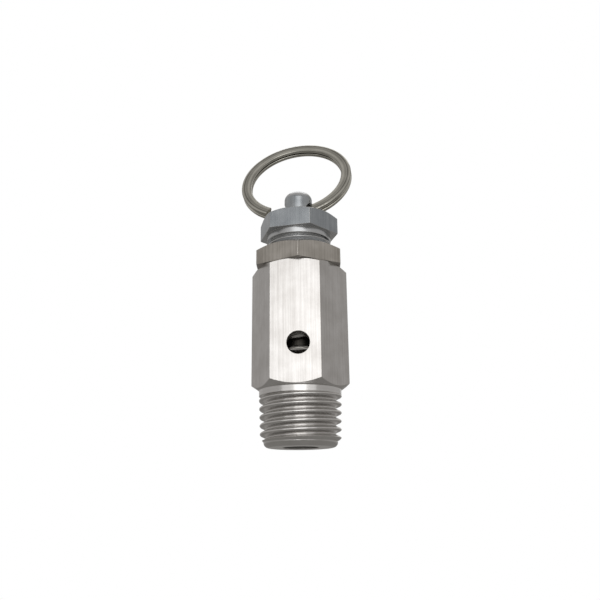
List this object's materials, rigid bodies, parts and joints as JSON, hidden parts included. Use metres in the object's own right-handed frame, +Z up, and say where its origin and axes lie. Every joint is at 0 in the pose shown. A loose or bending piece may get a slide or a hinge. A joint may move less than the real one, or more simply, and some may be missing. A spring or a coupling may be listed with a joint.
{
  "type": "pressure relief valve",
  "caption": "Spring-loaded pressure relief valve: hexagon body with tapered inlet thread, side vents, lock nut, adjusting screw, lift stem and split pull ring.",
  "frame": {"origin": "centre of the inlet end's face, on the valve's axis", "axes": "+Z up the valve's axis, from the inlet to the pull ring; -Y is the side of the front vent"},
  "size_m": [0.0204, 0.0177, 0.0582],
  "materials": {
    "body": "drawn hexagon bar flats with turned chamfers and thread",
    "lock_nut": "machined nut, fine lines across the flats",
    "adjusting_screw": "satin, drawn lines along the flats",
    "lift_stem": "turned, satin",
    "pull_ring": "bright drawn flat wire",
    "disc_holder": "turned stainless",
    "seal_disc": "moulded, matt",
    "spring": "drawn spring wire",
    "spring_seat": "turned washer"
  },
  "bodies": {
    "valve_body": {"body": "body"},
    "poppet": {"disc_holder": "disc_holder", "seal_disc": "seal_disc", "stem_clip": "spring"},
    "stem": {"lift_stem": "lift_stem"},
    "ring": {"pull_ring": "pull_ring"},
    "thrust_washer": {"spring_seat": "spring_seat", "spring": "spring"},
    "screw": {"adjusting_screw": "adjusting_screw"},
    "nut": {"lock_nut": "lock_nut"}
  },
  "joints": [
    {"name": "lift", "type": "slide", "parent": "valve_body", "child": "poppet", "axis": [0, 0, 1], "range_m": [0, 0.0015], "stiffness_N_per_m": 11500, "springref_m": -0.0018, "deforming": ["spring"]},
    {"name": "stem_swivel", "type": "hinge", "parent": "poppet", "child": "stem", "pos_m": [0, 0, 0], "axis": [0, 0, 1], "continuous": true},
    {"name": "ring_swing", "type": "hinge", "parent": "stem", "child": "ring", "pos_m": [0, 0, 0.04031], "axis": [0.9781, -0.2079, 0], "range_deg": [-60, 105]},
    {"name": "preload", "type": "slide", "parent": "valve_body", "child": "thrust_washer", "axis": [0, 0, 1], "range_m": [-0.0015, 0], "deforming": ["spring"]},
    {"name": "screw_turn", "type": "hinge", "parent": "thrust_washer", "child": "screw", "pos_m": [0, 0, 0], "axis": [0, 0, 1], "range_deg": [-540, 0]},
    {"name": "nut_turn", "type": "hinge", "parent": "valve_body", "child": "nut", "pos_m": [0, 0, 0], "axis": [0, 0, 1], "range_deg": [0, 60]}
  ],
  "couplings": [
    {"joint": "preload", "follows": "screw_turn", "m_per_rad": 0.00015915}
  ]
}
